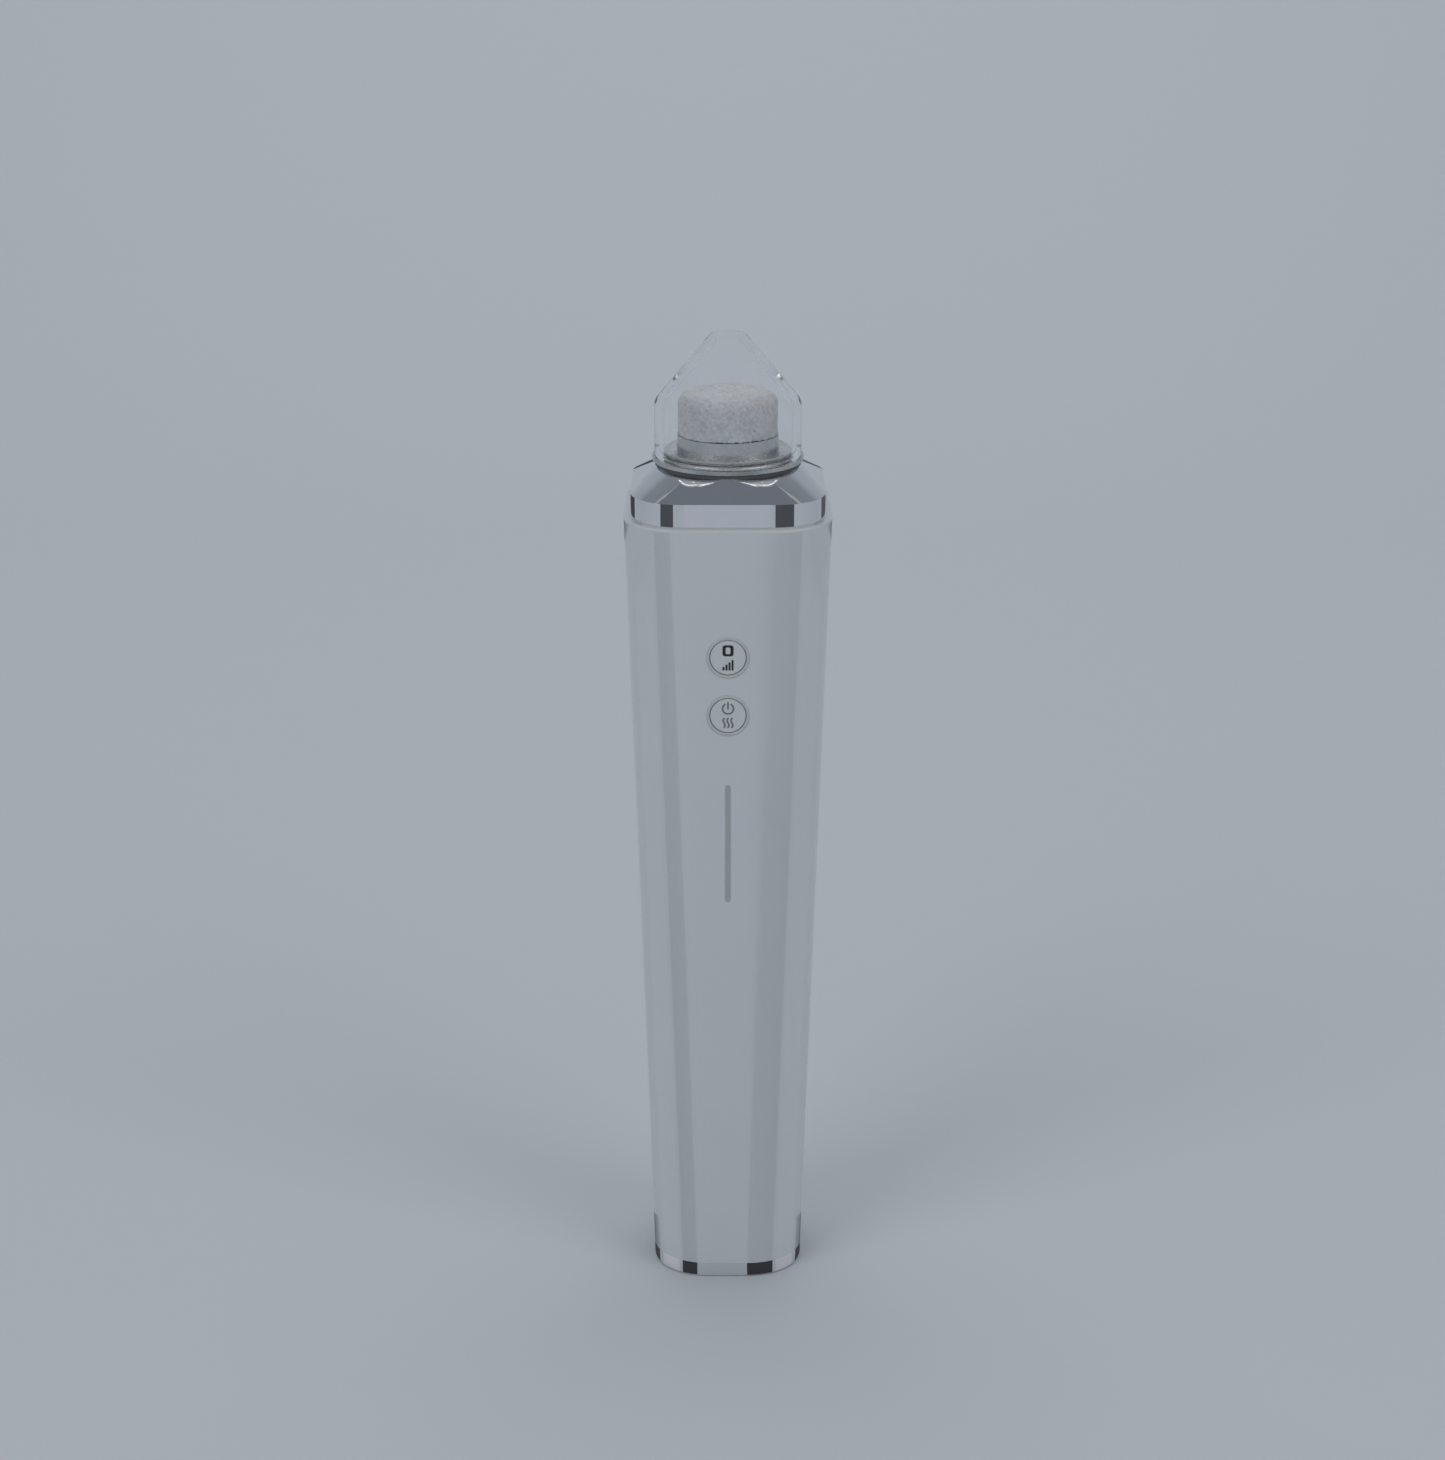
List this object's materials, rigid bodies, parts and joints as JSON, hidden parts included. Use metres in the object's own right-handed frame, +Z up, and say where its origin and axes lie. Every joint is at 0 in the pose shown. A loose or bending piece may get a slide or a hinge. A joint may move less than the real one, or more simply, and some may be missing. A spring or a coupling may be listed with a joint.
{
  "type": "blackhead vacuum extractor",
  "caption": "Cordless pore vacuum: tapered square handle standing on its foot ring, front buttons and light bar, bright collar, sponge filter and clear conical suction probe.",
  "frame": {"origin": "on the supporting surface, under the middle of the handle", "axes": "+Z up along the handle to the suction mouth, -Y out of the front face with the buttons, +X to the right as seen from the front"},
  "size_m": [0.0416, 0.0416, 0.2],
  "materials": {
    "white_body": "gloss",
    "polished_chrome": "polished",
    "turned_metal": "turned",
    "clear_plastic": "clear",
    "black_rubber": "matte",
    "white_sponge": "open foam",
    "grey_foam": "foam",
    "button_white": "satin",
    "light_bar": "frosted",
    "white_inner": "moulded",
    "black_inner": "moulded",
    "green_board": "solder mask",
    "board_chips": "moulded",
    "lamp": "clear",
    "steel": "bright",
    "screw_steel": "plated",
    "magnet": "ground",
    "copper": "enamelled",
    "bronze": "sintered",
    "nickel": "strip",
    "cell_wrap": "shrink film",
    "silicone": "translucent",
    "wire": "smooth"
  },
  "bodies": {
    "handle": {"body_sleeve": "white_body", "base_ring": "polished_chrome", "end_cap": "white_inner", "end_cap_screws": "screw_steel", "top_collar": "polished_chrome", "nozzle_gasket": "black_rubber", "nozzle_base": "turned_metal", "nozzle_nut": "steel", "probe_seal": "black_rubber", "filter_grid": "black_inner", "upper_button_bezel": "polished_chrome", "upper_switch": "black_inner", "lower_button_bezel": "polished_chrome", "lower_switch": "black_inner", "light_guide": "light_bar", "status_leds": "lamp", "main_board": "green_board", "board_parts": "board_chips", "board_screws": "screw_steel", "motor_can": "steel", "motor_end_bell": "black_inner", "motor_terminals": "nickel", "motor_brushes": "magnet", "motor_bushes": "bronze", "motor_magnets": "magnet", "motor_foam": "grey_foam", "crankcase": "black_inner", "diaphragm": "black_rubber", "valve_plate": "black_inner", "valve_membrane": "silicone", "pump_cover": "black_inner", "pump_screws": "screw_steel", "intake_hose": "silicone", "battery_cell": "cell_wrap", "battery_tabs": "nickel", "charging_socket": "steel", "socket_tongue": "black_inner", "charging_board": "green_board", "battery_leads": "wire", "charging_leads": "wire", "motor_leads": "wire", "chassis_rear": "white_inner", "chassis_front": "white_inner", "chassis_screws": "screw_steel"},
    "probe": {"suction_probe": "clear_plastic"},
    "filter": {"filter_foam": "white_sponge"},
    "upper_button": {"upper_button_cap": "button_white", "upper_switch_plunger": "white_inner"},
    "lower_button": {"lower_button_cap": "button_white", "lower_switch_plunger": "white_inner"},
    "rotor": {"motor_shaft": "steel", "armature_core": "magnet", "armature_windings": "copper", "commutator": "copper", "crank": "white_inner", "crank_pin": "steel"},
    "wobble": {"wobble_plate": "white_inner"}
  },
  "joints": [
    {"name": "probe_pull", "type": "slide", "parent": "handle", "child": "probe", "axis": [0, 0, 1], "range_m": [0, 0.014]},
    {"name": "filter_lift", "type": "slide", "parent": "handle", "child": "filter", "axis": [0, 0, 1], "range_m": [0, 0.002]},
    {"name": "upper_button_press", "type": "slide", "parent": "handle", "child": "upper_button", "axis": [0, 0.9995, 0.0321], "range_m": [0, 0.0003], "stiffness_N_per_m": 600, "springref_m": -0.0015},
    {"name": "lower_button_press", "type": "slide", "parent": "handle", "child": "lower_button", "axis": [0, 0.9995, 0.0321], "range_m": [0, 0.0003], "stiffness_N_per_m": 600, "springref_m": -0.0015},
    {"name": "motor_spin", "type": "hinge", "parent": "handle", "child": "rotor", "pos_m": [0, 0.0016, 0.1], "axis": [0, 0, 1], "continuous": true},
    {"name": "wobble_spin", "type": "hinge", "parent": "rotor", "child": "wobble", "pos_m": [0, 0.0016, 0.1182], "axis": [0, -0.1564, 0.9877], "continuous": true, "deforming": ["diaphragm"]}
  ],
  "couplings": [
    {"joint": "wobble_spin", "follows": "motor_spin", "ratio": -1}
  ]
}
